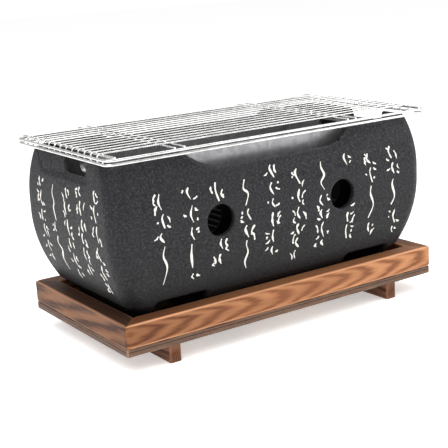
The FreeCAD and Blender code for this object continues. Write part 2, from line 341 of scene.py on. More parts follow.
def torched_wood(name, turn, pith, tones, darker=None, rings=150.0, sweep=0.03):
    """Flame-browned softwood: growth rings round a pith line, fibres, charred and worn parts."""
    char_tone = (0.02, 0.011, 0.008)
    light, middle, dark = tones
    material, tree, shader, place = new_material(name, 0.5)
    shader.inputs["Specular IOR Level"].default_value = 0.15
    along = put(tree, "ShaderNodeMapping",
                {"Vector": place, "Rotation": (0, 0, turn + sweep), "Location": (0.37, *pith)})
    drawn = put(tree, "ShaderNodeMapping", {"Vector": along.outputs[0], "Scale": (0.1, 1, 1)})
    wave = put(tree, "ShaderNodeTexWave",
               {"Vector": drawn.outputs[0], "Scale": rings, "Distortion": 4.2, "Detail": 3.0,
                "Detail Scale": 0.55, "Detail Roughness": 0.5},
               wave_type="RINGS", rings_direction="X")
    ring = wave.outputs["Fac"]
    pulled = put(tree, "ShaderNodeMapping", {"Vector": along.outputs[0], "Scale": (0.04, 1, 1)})
    fibre = grain_noise(tree, pulled.outputs[0], 1500, 3.0, 0.65)
    patch = grain_noise(tree, drawn.outputs[0], 55, 2.0)
    figure = combine(tree, "ADD", ring, spread(tree, fibre, 0.2, 0.8, -0.45, 0.45))
    colour = ramp(tree, figure, ((0.05, light), (0.6, middle), (1.0, dark)))
    if darker:
        reach = put(tree, "ShaderNodeSeparateXYZ", {0: place}).outputs["X"]
        colour = mix(tree, spread(tree, reach, -0.13, 0.0, 0.8, 0.0), colour, darker, "MULTIPLY")
    colour = mix(tree, spread(tree, patch, 0.45, 0.68, 0.0, 0.55), colour, dark)
    uneven = spread(tree, figure, -0.2, 0.8, 0.7, 1.0)
    char = combine(tree, "MULTIPLY", point_value(tree, "char"), uneven)
    colour = mix(tree, char, colour, char_tone)
    rubbed = spread(tree, patch, 0.35, 0.6, 0.95, 0.45)
    worn = combine(tree, "MULTIPLY", point_value(tree, "wear"), rubbed)
    colour = mix(tree, worn, colour, tuple(min(1.0, 1.35 * c + 0.05) for c in light))
    tree.links.new(colour, shader.inputs["Base Color"])
    tree.links.new(spread(tree, fibre, 0.2, 0.8, 0.38, 0.62), shader.inputs["Roughness"])
    relief = combine(tree, "SUBTRACT", fibre, combine(tree, "MULTIPLY", ring, 0.5))
    bump(tree, shader, relief, 0.0003, 0.6)
    return material


def plywood():
    """Panel edge with its layers, and long grain on both faces."""
    material, tree, shader, place = new_material("plywood", 0.6)
    level = height_of(tree, place)
    drawn = put(tree, "ShaderNodeMapping", {"Vector": place, "Scale": (0.12, 0.12, 1)})
    wander = grain_noise(tree, drawn.outputs[0], 420, 3.0)
    level = combine(tree, "ADD", level, spread(tree, wander, 0.2, 0.8, -0.0007, 0.0007))
    layer = spread(tree, level, panel_low[2] * MM, panel_high[2] * MM)
    colour = ramp(tree, layer, ((0.0, (0.03, 0.015, 0.009)), (0.16, (0.06, 0.028, 0.016)),
                                (0.34, (0.19, 0.095, 0.05)), (0.52, (0.13, 0.06, 0.03)),
                                (0.62, (0.035, 0.015, 0.009)), (0.76, (0.17, 0.08, 0.04)),
                                (0.84, (0.08, 0.034, 0.018)), (0.93, (0.012, 0.006, 0.004))))
    fleck = grain_noise(tree, place, 850, 3.0, 0.7)
    colour = mix(tree, spread(tree, fleck, 0.4, 0.7, 0.0, 0.6), colour, (0.05, 0.024, 0.014))
    rubbed = spread(tree, wander, 0.4, 0.6, 0.0, 0.6)
    worn = combine(tree, "MULTIPLY", point_value(tree, "wear"), rubbed)
    colour = mix(tree, worn, colour, (0.5, 0.3, 0.17))
    tree.links.new(colour, shader.inputs["Base Color"])
    bump(tree, shader, combine(tree, "ADD", fleck, layer), 0.0004, 0.6)
    return material


def drawn_steel(name, colour, dull, roughness):
    """Bright or dark wire, with faint drawing marks and stains."""
    material, tree, shader, place = new_material(name, roughness, 1.0)
    stain = grain_noise(tree, place, 140, 4.0)
    shade = ramp(tree, stain, ((0.3, dull), (0.6, colour)))
    scratch = grain_noise(tree, place, 1400, 2.0)
    tree.links.new(shade, shader.inputs["Base Color"])
    tree.links.new(spread(tree, scratch, 0.25, 0.75, roughness - 0.07, roughness + 0.12),
                   shader.inputs["Roughness"])
    bump(tree, shader, scratch, 0.00005, 0.4)
    return material


def galvanised_sheet():
    """Zinc-coated sheet with its spangle, blackened low down: sooty from the fire, and darkened
    further as painted shade.
    """
    material, tree, shader, place = new_material("galvanised_sheet", 0.42, 0.85)
    cells = put(tree, "ShaderNodeTexVoronoi", {"Vector": place, "Scale": 230.0, "Randomness": 1.0})
    spangle = put(tree, "ShaderNodeSeparateColor", {0: cells.outputs["Color"]}).outputs[0]
    shade = ramp(tree, spangle, ((0.0, (0.30, 0.30, 0.31)), (1.0, (0.40, 0.40, 0.41))))
    smoke = grain_noise(tree, place, 45, 4.0)
    drift = spread(tree, smoke, 0.3, 0.7, -0.006, 0.006)
    level = combine(tree, "ADD", height_of(tree, place), drift)
    # sooty and painted shade: the sheet goes near black below this height
    black_below, plain_above = 0.118, 0.136
    soot_and_shade = spread(tree, level, black_below, plain_above, 1.0, 0.0)
    shade = mix(tree, soot_and_shade, shade, (0.01, 0.0095, 0.009))
    tree.links.new(shade, shader.inputs["Base Color"])
    tree.links.new(spread(tree, soot_and_shade, 0.0, 1.0, 0.4, 0.9), shader.inputs["Roughness"])
    bump(tree, shader, smoke, 0.0003, 0.3)
    return material


# ---- fields for the cast body ----

def smooth_max(first, second, soft):
    """Larger of two fields, with the edge between them rounded over."""
    near = np.clip(soft - np.abs(first - second), 0, None) / soft
    return np.maximum(first, second) + near * near * soft / 4


def rounded_box(a, b, half_a, half_b, radius):
    """Signed distance to a rounded rectangle about the origin."""
    over_a = np.abs(a) - half_a + radius
    over_b = np.abs(b) - half_b + radius
    outside = np.hypot(np.maximum(over_a, 0), np.maximum(over_b, 0))
    return outside + np.minimum(np.maximum(over_a, over_b), 0) - radius


def arc_drop(distance, radius):
    """How far a circular arc has curved in at a distance from its widest point."""
    return radius - np.sqrt(radius ** 2 - distance ** 2)


def barrel(z, widest, curve_below, curve_above, skirt):
    """Half size of the casting at a height: a barrel that ends in a narrower skirt."""
    above = widest - arc_drop(np.clip(z - belly_high, 0, None), curve_above)
    below = widest - arc_drop(np.clip(belly_low - np.maximum(z, skirt_start), 0, None), curve_below)
    at_start = widest - arc_drop(belly_low - skirt_start, curve_below)
    part_way = np.clip((z - body_low[2]) / (skirt_start - body_low[2]), 0, 1)
    low = skirt + (at_start - skirt) * part_way ** 2
    return np.where(z > belly_high, above, np.where(z >= skirt_start, below, low))


def half_length_at(z):
    return barrel(z, body_half_length, length_curve_below, length_curve_above, skirt_half_length)


def half_width_at(z):
    return barrel(z, body_high[1], width_curve_below, width_curve_above, skirt_half_width)


def open_notch(across, z, sizes, corner, grow=0.0):
    """Field of a notch that is open upwards, with leaning sides and round lower corners."""
    half_top, half_bottom, bottom = sizes
    lean = (half_top - half_bottom) / (body_high[2] - bottom)
    side = (across - half_bottom - lean * (z - bottom)) / math.hypot(1, lean)
    return smooth_max(side, bottom - z, corner) - grow


def hollow_field(x, y, z):
    return rounded_box(x, y, half_length_at(z) - wall, half_width_at(z) - wall,
                       body_corner_radius - wall)


def chamber_field(points):
    """The space that holds the fire, open at the top."""
    x, y, z = np.moveaxis(points, -1, 0)
    return smooth_max(hollow_field(x - body_centre_x, y, z), floor_top - z, floor_round)


def casting_field(points):
    """Signed distance to the casting, negative inside its walls."""
    x, y, z = np.abs(points[..., 0] - body_centre_x), np.abs(points[..., 1]), points[..., 2]
    half_x, half_y = half_length_at(z), half_width_at(z)
    field = rounded_box(x, y, half_x, half_y, body_corner_radius)
    field = smooth_max(field, z - body_high[2], cast_edge)
    field = smooth_max(field, body_low[2] - z, cast_edge / 2)

    field = smooth_max(field, -chamber_field(points), cast_edge)
    under = smooth_max(hollow_field(x, y, z), z - floor_under, floor_round)
    field = smooth_max(field, -under, cast_edge / 2)

    grow = side_notch_bevel * np.clip((y - half_y + wall) / wall, 0, bevel_reach)
    dip = open_notch(x, z, side_notch, side_notch_round, grow)
    field = smooth_max(field, -dip, cast_edge)
    sink = np.clip(scoop_depth - y ** 2 / (2 * scoop_curve), 0, None)
    scoop = smooth_max(open_notch(y, z, scoop_notch, scoop_round), half_x - sink - x, cast_edge)
    field = smooth_max(field, -scoop, cast_edge)
    from_hole = np.abs(points[..., 1] - hand_hole_y)
    hand_hole = open_notch(from_hole, z, hand_notch, hand_hole_round)
    hand_hole = np.maximum(hand_hole, half_x - hand_hole_reach - x)
    field = smooth_max(field, -hand_hole, drilled_edge)

    vent = np.hypot(x - vent_x, z - vent_height) - vent_radius
    field = smooth_max(field, -vent, drilled_edge)
    below = 10.0
    air_half = air_notch_top - body_low[2] + below
    air = rounded_box(x - air_notch_x, z - air_notch_top + air_half, air_notch_half, air_half,
                      air_notch_radius)
    return smooth_max(field, -air, drilled_edge)


def slope_of(field, points, step=0.02):
    """Gradient of a field at points."""
    sides = np.eye(3) * step
    return np.stack([(field(points + s) - field(points - s)) / (2 * step) for s in sides], -1)


def surface_of(field, low, high, cell):
    """Quads over a field's zero level: one point in each cell it crosses, pulled onto it."""
    counts = np.ceil((high - low) / cell).astype(int) + 1
    axes = [low[i] + cell * np.arange(counts[i]) for i in range(3)]
    value = field(np.stack(np.meshgrid(*axes, indexing="ij"), -1))
    strides = np.array([counts[1] * counts[2], counts[2], 1])
    total = np.zeros((counts.prod(), 3))
    hits = np.zeros(counts.prod())
    quads = []
    for axis in range(3):
        here = [slice(None)] * 3
        there = [slice(None)] * 3
        here[axis], there[axis] = slice(0, -1), slice(1, None)
        near, far = value[tuple(here)], value[tuple(there)]
        crossed = np.argwhere((near < 0) != (far < 0))
        start, end = near[tuple(crossed.T)], far[tuple(crossed.T)]
        unit = np.eye(3, dtype=int)[axis]
        point = low + cell * (crossed + np.outer(start / (start - end), unit))
        u, w = np.eye(3, dtype=int)[(axis + 1) % 3], np.eye(3, dtype=int)[(axis + 2) % 3]
        around = np.stack([(crossed - offset) @ strides for offset in (0 * u, u, u + w, w)], 1)
        for k in range(3):
            weights = np.repeat(point[:, k], 4)
            total[:, k] += np.bincount(around.ravel(), weights, len(hits))
        hits += np.bincount(around.ravel(), minlength=len(hits))
        around[start > 0] = around[start > 0][:, ::-1]
        quads.append(around)
    used = hits > 0
    number = np.cumsum(used) - 1
    points = total[used] / hits[used][:, None]
    for _ in range(5):
        slope = slope_of(field, points)
        step = field(points) / np.maximum((slope ** 2).sum(-1), 0.2)
        points -= np.clip(step, -cell / 2, cell / 2)[:, None] * slope
    slope = slope_of(field, points)
    return points, number[np.concatenate(quads)], slope / np.linalg.norm(slope, axis=1)[:, None]


def make_fire_body():
    """The casting, its fire-chamber walls painted sooty, and painted shade darkening the vent
    bores.
    """
    margin = 1.5 * cast_cell
    low = body_low - margin
    high = body_high + margin
    points, quads, normals = surface_of(casting_field, low, high, cast_cell)
    mesh = mesh_of("fire_body_casting", points, quads.tolist())
    inner = np.clip(1.0 - chamber_field(points) / soot_fade, 0, 1)
    depth = np.clip((body_high[2] - points[:, 2]) / soot_depth, 0, 1)
    across = np.abs(points[:, 0] - body_centre_x) - vent_x
    # painted shade: the bores of the vents are darkened
    bore = np.abs(np.hypot(across, points[:, 2] - vent_height) - vent_radius)
    in_bore = (bore < 0.2) & (np.abs(points[:, 1]) < half_width_at(points[:, 2]) - 1.0)
    inner *= soot_at_rim + (1 - soot_at_rim) * depth
    paint_points(mesh, "soot_and_shade", np.maximum(inner, in_bore * bore_shade))
    mesh.shade_smooth()
    mesh.normals_split_custom_set_from_vertices(normals.tolist())
    add_piece(mesh, cast_coating(), "grill_body", "body_coating", "fire_body")


# ---- brush marks ----

def smooth_line(points, steps=5):
    """Catmull-Rom line through a few hand positions."""
    points = np.array(points, float)
    padded = np.vstack([2 * points[0] - points[1], points, 2 * points[-1] - points[-2]])
    line = []
    for i in range(1, len(padded) - 2):
        a, b, c, d = padded[i - 1:i + 3]
        for t in np.arange(steps) / steps:
            line.append(0.5 * (2 * b + (c - a) * t + (2 * a - 5 * b + 4 * c - d) * t ** 2
                               + (3 * b - a - 3 * c + d) * t ** 3))
    return np.array(line + [points[-1]])


def dab(rng, height):
    """Short pressed dot of the brush, pulled to one side, the same at any height."""
    reach, angle = rng.uniform(1.4, 2.8), rng.uniform(-2.3, -0.8)
    end = np.array([reach * math.cos(angle), reach * math.sin(angle)])
    return [0.0 * end, 0.5 * end + (0.2, 0.0), end]


def flick(rng, height):
    """Slanted stroke that lifts off at its end."""
    side = rng.choice((-1, 1))
    reach = rng.uniform(2.4, 4.2)
    return [(-side * 0.4 * reach, 0), (0, -0.25 * height), (side * 0.6 * reach, -0.35 * height)]


def sweep(rng, height):
    """Shallow slanted arc."""
    side = rng.choice((-1, 1))
    lean = rng.uniform(1.2, 2.4)
    return [(-side * lean, 0), (side * 0.15 * lean, -0.42 * height), (side * 0.5 * lean, -height)]


def wander(rng, height):
    """Long pull of the brush down the column, swaying unevenly on its way."""
    turns = max(2, int(height / rng.uniform(5.0, 8.5)))
    points = [(0.0, 0.0)]
    for i in range(turns):
        sway = (1 if i % 2 else -1) * rng.uniform(0.2, 0.14 * height / turns + 1.2)
        points.append((sway, -height * (i + rng.uniform(0.55, 1.0)) / turns))
    return points


def column_strokes(rng, centre, top, bottom):
    """Free strokes down one column, from its top to its bottom: (points, pressure)."""
    strokes = []
    z = top
    while z > bottom + 5:
        tallest = long_pull if rng.random() < long_pull_chance else short_pull
        height = min(rng.uniform(0.55, 1.0) * tallest, z - bottom)
        strokes.append((wander, centre + rng.uniform(-1.5, 1.5), z, height, rng.uniform(0.8, 1.25)))
        level = z - rng.uniform(0.0, 2.5)
        while height < long_pull / 2 and level > z - height + 2.0:
            kind = rng.choice((dab, flick, flick, sweep, wander))
            tall = rng.uniform(3.5, 7.5)
            side = rng.choice((-1, 1)) * rng.uniform(4.0, 5.8)
            room = min(tall, level - bottom)
            strokes.append((kind, centre + side, level, room, rng.uniform(0.7, 1.2)))
            level -= tall * rng.uniform(0.5, 0.9)
        z -= height + rng.uniform(1.0, 2.6)
        centre += rng.uniform(-0.8, 0.8)
    lines = []
    for kind, start, level, height, pressure in strokes:
        line = [(start + a, level + up) for a, up in kind(rng, height)]
        lines.append((smooth_line(line), pressure))
    return lines


def ribbon(line, pressure, rng, place):
    """Low domed brush stroke that lies on the casting."""
    count = len(line)
    share = np.linspace(0, 1, count)
    fullness = np.sin(math.pi * np.clip(share * 0.92 + 0.06, 0, 1))
    taper = 0.25 + 0.75 * np.sqrt(np.clip(fullness, 0, 1))
    swell = 1 + 0.35 * np.sin(share * rng.uniform(4, 14) + rng.uniform(0, 6))
    half = 0.5 * stroke_width * pressure * taper * swell
    ahead = np.gradient(line, axis=0)
    ahead /= np.maximum(np.linalg.norm(ahead, axis=1), 1e-6)[:, None]
    aside = np.stack([-ahead[:, 1], ahead[:, 0]], -1)
    rings = []
    for i in range(count):
        rings.append(np.array([place(*(line[i] + aside[i] * half[i] * across), lift)
                               for across, lift in stroke_section]))
    return loft(rings)


def on_long_side(side):
    """Places a point of the front (-1) or back (1) face from along, height and lift."""
    def place(a, z, lift):
        return (body_centre_x - side * a, side * (half_width_at(z) + lift), z)
    return place


def on_end(side):
    """Places a point of the left (-1) or right (1) end from along, height and lift."""
    def place(a, z, lift):
        return (body_centre_x + side * (half_length_at(z) + lift), side * a, z)
    return place


def make_brush_marks(finish):
    """Columns of abstract running strokes on all four faces."""
    layouts = (("front", on_long_side(-1), 10, 24.8, 1.7, 3),
               ("back", on_long_side(1), 10, 24.8, -1.7, 14),
               ("left", on_end(-1), 5, 22.5, 3.0, 27),
               ("right", on_end(1), 5, 22.5, 3.0, 38))
    for name, place, columns, pitch, offset, seed in layouts:
        has_vents = name in ("front", "back")
        rng = random.Random(seed)
        points, faces, start = [], [], 0
        for i in range(columns):
            centre = offset + (i - (columns - 1) / 2) * pitch
            top, bottom = rng.uniform(*column_top), rng.uniform(*column_foot)
            for line, pressure in column_strokes(rng, centre, top, bottom):
                from_vent = np.hypot(np.abs(line[:, 0]) - vent_x, line[:, 1] - vent_height)
                if has_vents and from_vent.min() < vent_clearance:
                    continue
                more, skin = ribbon(line, pressure, rng, place)
                points.append(more)
                faces += [tuple(start + k for k in face) for face in skin]
                start += len(more)
        mesh = mesh_of("brush_marks_" + name, np.concatenate(points), faces)
        outward(mesh)
        smooth_by_angle(mesh, 75)
        add_piece(mesh, finish, "grill_body", "body_coating")


# ---- wooden tray ----

def side_marks(length, radius):
    """Places along one straight side, closer together near its two corners."""
    inner = np.linspace(radius + 0.8, length - radius - 0.8, max(2, int(length / 4)))
    return np.concatenate([[radius], inner])


def rounded_outline(width, height, radius):
    """Points round a rectangle from 0,0 with rounded corners."""
    points = []
    corners = ((width, 0, -math.pi / 2), (width, height, 0),
               (0, height, math.pi / 2), (0, 0, math.pi))
    sides = ((width, (1, 0), (0, 0)), (height, (0, 1), (width, 0)),
             (width, (-1, 0), (width, height)), (height, (0, -1), (0, height)))
    for (corner_x, corner_y, angle), (length, way, start) in zip(corners, sides):
        for mark in side_marks(length, radius):
            points.append((start[0] + way[0] * mark, start[1] + way[1] * mark))
        centre_x = min(max(corner_x, radius), width - radius)
        centre_y = min(max(corner_y, radius), height - radius)
        for turn in np.linspace(angle, angle + math.pi / 2, 5)[:-1]:
            points.append((centre_x + radius * math.cos(turn), centre_y + radius * math.sin(turn)))
    return np.array(points)


def edge_wear(a, b, width, height):
    """1 on a rectangle's rounded corners, fading out along its sides."""
    reach = np.hypot(np.minimum(a, width - a), np.minimum(b, height - b))
    return np.clip(1.6 - reach, 0, 1)


def mitred_board(name, turn, finish, charred):
    """One side of the tray, its ends cut at 45 degrees with a fine groove at the joint."""
    long_way, short_way = panel_high[0] - panel_low[0], panel_high[1] * 2
    length, across = (long_way, short_way) if turn % 2 == 0 else (short_way, long_way)
    width, height = front_high[1] - front_low[1], front_high[2] - front_low[2]
    outline = rounded_outline(width, height, wood_edge)
    middle = np.array([width, height]) / 2
    stations = np.linspace(-1, 1, board_stations)
    rings, wear, char = [], [], []
    for number, station in enumerate(stations):
        at_end = number in (0, len(stations) - 1)
        shape = outline + (middle - outline) / middle * (mitre_groove if at_end else 0.0)
        depth, up = shape[:, 0], shape[:, 1]
        reach = station * (length / 2 - depth)
        wobble = np.array([noise.noise(Vector((a * 0.02, turn * 9.0, d * 0.08)))
                           for a, d in zip(reach, depth)])
        sunk = np.clip(wobble, 0, 1)
        outer = -across / 2 + depth + sunk * board_face_dip * (1 - depth / width)
        level = front_low[2] + up - board_top_dip * sunk * (up > height / 2)
        spin = turn * math.pi / 2
        rings.append(np.stack([tray_centre_x + reach * math.cos(spin) - outer * math.sin(spin),
                               reach * math.sin(spin) + outer * math.cos(spin), level], -1))
        wear.append(edge_wear(depth, up, width, height))
        char.append(charred * np.clip(1 - (height - up) / char_depth, 0, 1))
    points, faces = loft(rings)
    mesh = mesh_of(name, points, faces)
    paint_points(mesh, "wear", np.concatenate(wear))
    paint_points(mesh, "char", np.concatenate(char))
    outward(mesh)
    smooth_by_angle(mesh, 50)
    add_piece(mesh, finish, "tray", "tray_wood", name.replace("_wood", ""))


def slab(name, low, high, levels, corner):
    """Block with rounded upright corners, lofted through (height, inset) levels."""
    width, depth = high[0] - low[0], high[1] - low[1]
    rings, wear = [], []
    for level, inset in levels:
        outline = rounded_outline(width - 2 * inset, depth - 2 * inset, corner)
        flat = outline + low[:2] + inset
        rings.append(np.column_stack([flat, np.full(len(flat), level)]))
        upright = edge_wear(outline[:, 0], outline[:, 1], width, depth)
        from_rim = min(level - low[2], high[2] - level)
        wear.append(np.maximum(upright, np.clip(1 - from_rim / 0.8, 0, 1)))
    points, faces = loft(rings)
    mesh = mesh_of(name, points, faces)
    paint_points(mesh, "wear", np.concatenate(wear))
    outward(mesh)
    smooth_by_angle(mesh, 50)
    return mesh


def drill(mesh, spots, radius, depth):
    """Blind round holes, upwards from the underside of a block."""
    work = bmesh.new()
    below = 2.0
    for x, y, z in spots:
        place = Matrix.Translation(Vector((x, y, z + (depth - below) / 2)) * MM)
        bmesh.ops.create_cone(work, cap_ends=True, segments=24, radius1=radius * MM,
                              radius2=radius * MM, depth=(depth + below) * MM, matrix=place)
    cutter_mesh = bpy.data.meshes.new("drill")
    work.to_mesh(cutter_mesh)
    work.free()
    cutter = bpy.data.objects.new("drill", cutter_mesh)
    block = bpy.data.objects.new("block", mesh)
    for made in (cutter, block):
        bpy.context.scene.collection.objects.link(made)
    cut = block.modifiers.new("wells", "BOOLEAN")
    cut.operation, cut.solver, cut.object = "DIFFERENCE", "EXACT", cutter
    graph = bpy.context.evaluated_depsgraph_get()
    result = bpy.data.meshes.new_from_object(block.evaluated_get(graph))
    result.name = mesh.name
    bpy.data.objects.remove(cutter)
    bpy.data.objects.remove(block)
    return result


def make_tray():
    """Four mitred boards, the plywood bottom and its two feet."""
    warm = ((0.49, 0.225, 0.10), (0.36, 0.145, 0.06), (0.21, 0.076, 0.032))
    brown = ((0.23, 0.100, 0.045), (0.145, 0.059, 0.027), (0.055, 0.020, 0.010))
    red = ((0.19, 0.070, 0.025), (0.10, 0.032, 0.012), (0.035, 0.012, 0.006))
    quarter = math.pi / 2
    front = torched_wood("front_board_wood", 0, (0.104, -0.031), warm,
                         darker=(0.38, 0.32, 0.29), rings=240.0, sweep=0.045)
    mitred_board("tray_front_board_wood", 0, front, front_char)
    right = torched_wood("right_board_wood", quarter, (0.17, -0.012), warm)
    mitred_board("tray_right_board_wood", 1, right, side_char)
    back = torched_wood("back_board_wood", 0, (-0.09, -0.045), brown)
    mitred_board("tray_back_board_wood", 2, back, side_char)
    left = torched_wood("left_board_wood", quarter, (-0.19, 0.02), brown)
    mitred_board("tray_left_board_wood", 3, left, left_char)

    levels = [(panel_low[2] + up, inset) for up, inset in ply_profile]
    levels += [(panel_high[2] - 0.5, 0.1), (panel_high[2], 0.7)]
    mesh = slab("tray_bottom_panel_wood", panel_low, panel_high, levels, wood_edge)
    add_piece(mesh, plywood(), "tray", "tray_plywood", "tray_bottom_panel")

    foot_finish = torched_wood("foot_wood", quarter, (0.02, 0.03), red, rings=200.0)
    for name in ("tray_foot_left", "tray_foot_right"):
        low, high = node_box(name)
        levels = [(low[2], 0.5), (low[2] + 0.5, 0.0), (low[2] + 7.5, 0.0), (high[2], 0.0)]
        mesh = slab(name + "_wood", low, high, levels, wood_edge)
        spots = [((low[0] + high[0]) / 2, y, low[2]) for y in foot_brad_y]
        mesh = drill(mesh, spots, brad_head / 2, brad_well)
        smooth_by_angle(mesh, 50)
        add_piece(mesh, foot_finish, "tray", "tray_wood", name)


# ---- node trees ----

def new_tree(name, inputs):
    """Geometry tree with named inputs: the tree, what it is given, and its output."""
    tree = bpy.data.node_groups.new(name, "GeometryNodeTree")
    tree.interface.new_socket("Points", in_out="INPUT", socket_type="NodeSocketGeometry")
    for label, kind in inputs:
        tree.interface.new_socket(label, in_out="INPUT", socket_type="NodeSocket" + kind)
    tree.interface.new_socket("Result", in_out="OUTPUT", socket_type="NodeSocketGeometry")
    return tree, put(tree, "NodeGroupInput").outputs


def close_tree(tree, geometry, finish):
    """Real, smooth mesh in its finish, handed to the output."""
    real = put(tree, "GeometryNodeRealizeInstances", {0: geometry})
    smooth = put(tree, "GeometryNodeSetShadeSmooth", {0: real.outputs[0]})
    coated = put(tree, "GeometryNodeSetMaterial",
                 {"Geometry": smooth.outputs[0], "Material": finish})
    put(tree, "NodeGroupOutput", {0: coated.outputs[0]})


def bent_wire_tree():
    """Round wire along a route with soft bends, repeated at an even spacing."""
    tree, given = new_tree("bent_wire", (("Diameter", "Float"), ("Bend radius", "Float"),
                                         ("Copies", "Int"), ("Spacing", "Vector"),
                                         ("Finish", "Material")))
    route = put(tree, "GeometryNodeMeshToCurve", {"Mesh": given["Points"]})
    bent = put(tree, "GeometryNodeFilletCurve",
               {"Curve": route.outputs[0], "Count": 7, "Radius": given["Bend radius"]}, mode="POLY")
    half = put(tree, "ShaderNodeMath", {0: given["Diameter"], 1: 0.5}, operation="MULTIPLY")
    ring = put(tree, "GeometryNodeCurvePrimitiveCircle",
               {"Resolution": 14, "Radius": half.outputs[0]})
    wire = put(tree, "GeometryNodeCurveToMesh",
               {"Curve": bent.outputs[0], "Profile Curve": ring.outputs[0], "Fill Caps": True})
    row = put(tree, "GeometryNodeMeshLine", {"Count": given["Copies"], "Offset": given["Spacing"]})
    copies = put(tree, "GeometryNodeInstanceOnPoints",
                 {"Points": row.outputs[0], "Instance": wire.outputs[0]})
    close_tree(tree, copies.outputs[0], given["Finish"])
    return tree


def brad_tree():
    """Headed brads standing on their heads at the given points."""
    tree, given = new_tree("headed_brads", (("Head", "Float"), ("Head height", "Float"),
                                            ("Shank", "Float"), ("Reach", "Float"),
                                            ("Finish", "Material")))
    parts = []
    for width, tall in (("Head", "Head height"), ("Shank", "Reach")):
        half = put(tree, "ShaderNodeMath", {0: given[width], 1: 0.5}, operation="MULTIPLY")
        lift = put(tree, "ShaderNodeMath", {0: given[tall], 1: 0.5}, operation="MULTIPLY")
        round_bar = put(tree, "GeometryNodeMeshCylinder",
                        {"Vertices": 20, "Radius": half.outputs[0], "Depth": given[tall]})
        place = put(tree, "ShaderNodeCombineXYZ", {"Z": lift.outputs[0]})
        moved = put(tree, "GeometryNodeTransform",
                    {"Geometry": round_bar.outputs[0], "Translation": place.outputs[0]})
        parts.append(moved.outputs[0])
    whole = put(tree, "GeometryNodeJoinGeometry")
    for part in parts:
        tree.links.new(part, whole.inputs[0])
    copies = put(tree, "GeometryNodeInstanceOnPoints",
                 {"Points": given["Points"], "Instance": whole.outputs[0]})
    close_tree(tree, copies.outputs[0], given["Finish"])
    return tree


def weld_tree():
    """Small flattened beads of weld metal at the given points."""
    tree, given = new_tree("weld_beads", (("Diameter", "Float"), ("Finish", "Material")))
    half = put(tree, "ShaderNodeMath", {0: given["Diameter"], 1: 0.5}, operation="MULTIPLY")
    bead = put(tree, "GeometryNodeMeshIcoSphere", {"Radius": half.outputs[0], "Subdivisions": 2})
    wide = put(tree, "FunctionNodeRandomValue",
               {0: (0.85, 0.85, 0.7), 1: (1.25, 1.25, 1.0), "Seed": 5}, data_type="FLOAT_VECTOR")
    copies = put(tree, "GeometryNodeInstanceOnPoints",
                 {"Points": given["Points"], "Instance": bead.outputs[0], "Scale": wide.outputs[0]})
    close_tree(tree, copies.outputs[0], given["Finish"])
    return tree


def grow(tree, name, points, edges, **settings):
    """Runs a tree on points and edges, and gives the result as a plain mesh."""
    route = bpy.data.meshes.new(name + "_route")
    route.from_pydata((np.array(points, float) * MM).tolist(), edges, [])
    holder = bpy.data.objects.new(name + "_route", route)
    bpy.context.scene.collection.objects.link(holder)
    modifier = holder.modifiers.new("tree", "NODES")
    modifier.node_group = tree
    for item in tree.interface.items_tree:
        if item.in_out == "INPUT" and item.name in settings:
            modifier[item.identifier] = settings[item.name]
    graph = bpy.context.evaluated_depsgraph_get()
    mesh = bpy.data.meshes.new_from_object(holder.evaluated_get(graph))
    bpy.data.objects.remove(holder)
    mesh.name = name
    mesh.set_sharp_from_angle(angle=math.radians(50))
    return mesh


def chain(count, closed=False):
    """Edges that join points in a row, or in a ring."""
    edges = [(i, i + 1) for i in range(count - 1)]
    return edges + [(count - 1, 0)] if closed else edges


def wire(tree, name, points, edges, diameter, bend, finish, copies=1, spacing=(0.0, 0.0, 0.0)):
    """Bent wire mesh, its sizes given in millimetres."""
    settings = {"Diameter": diameter * MM, "Bend radius": bend * MM, "Copies": copies,
                "Spacing": tuple(float(s) * MM for s in spacing), "Finish": finish}
    return grow(tree, name, points, edges, **settings)


def rectangle(half_x, half_y, z, centre_x=0.0):
    """Corners of a level rectangle."""
    corners = ((-1, -1), (1, -1), (1, 1), (-1, 1))
    return [(centre_x + a * half_x, b * half_y, z) for a, b in corners]


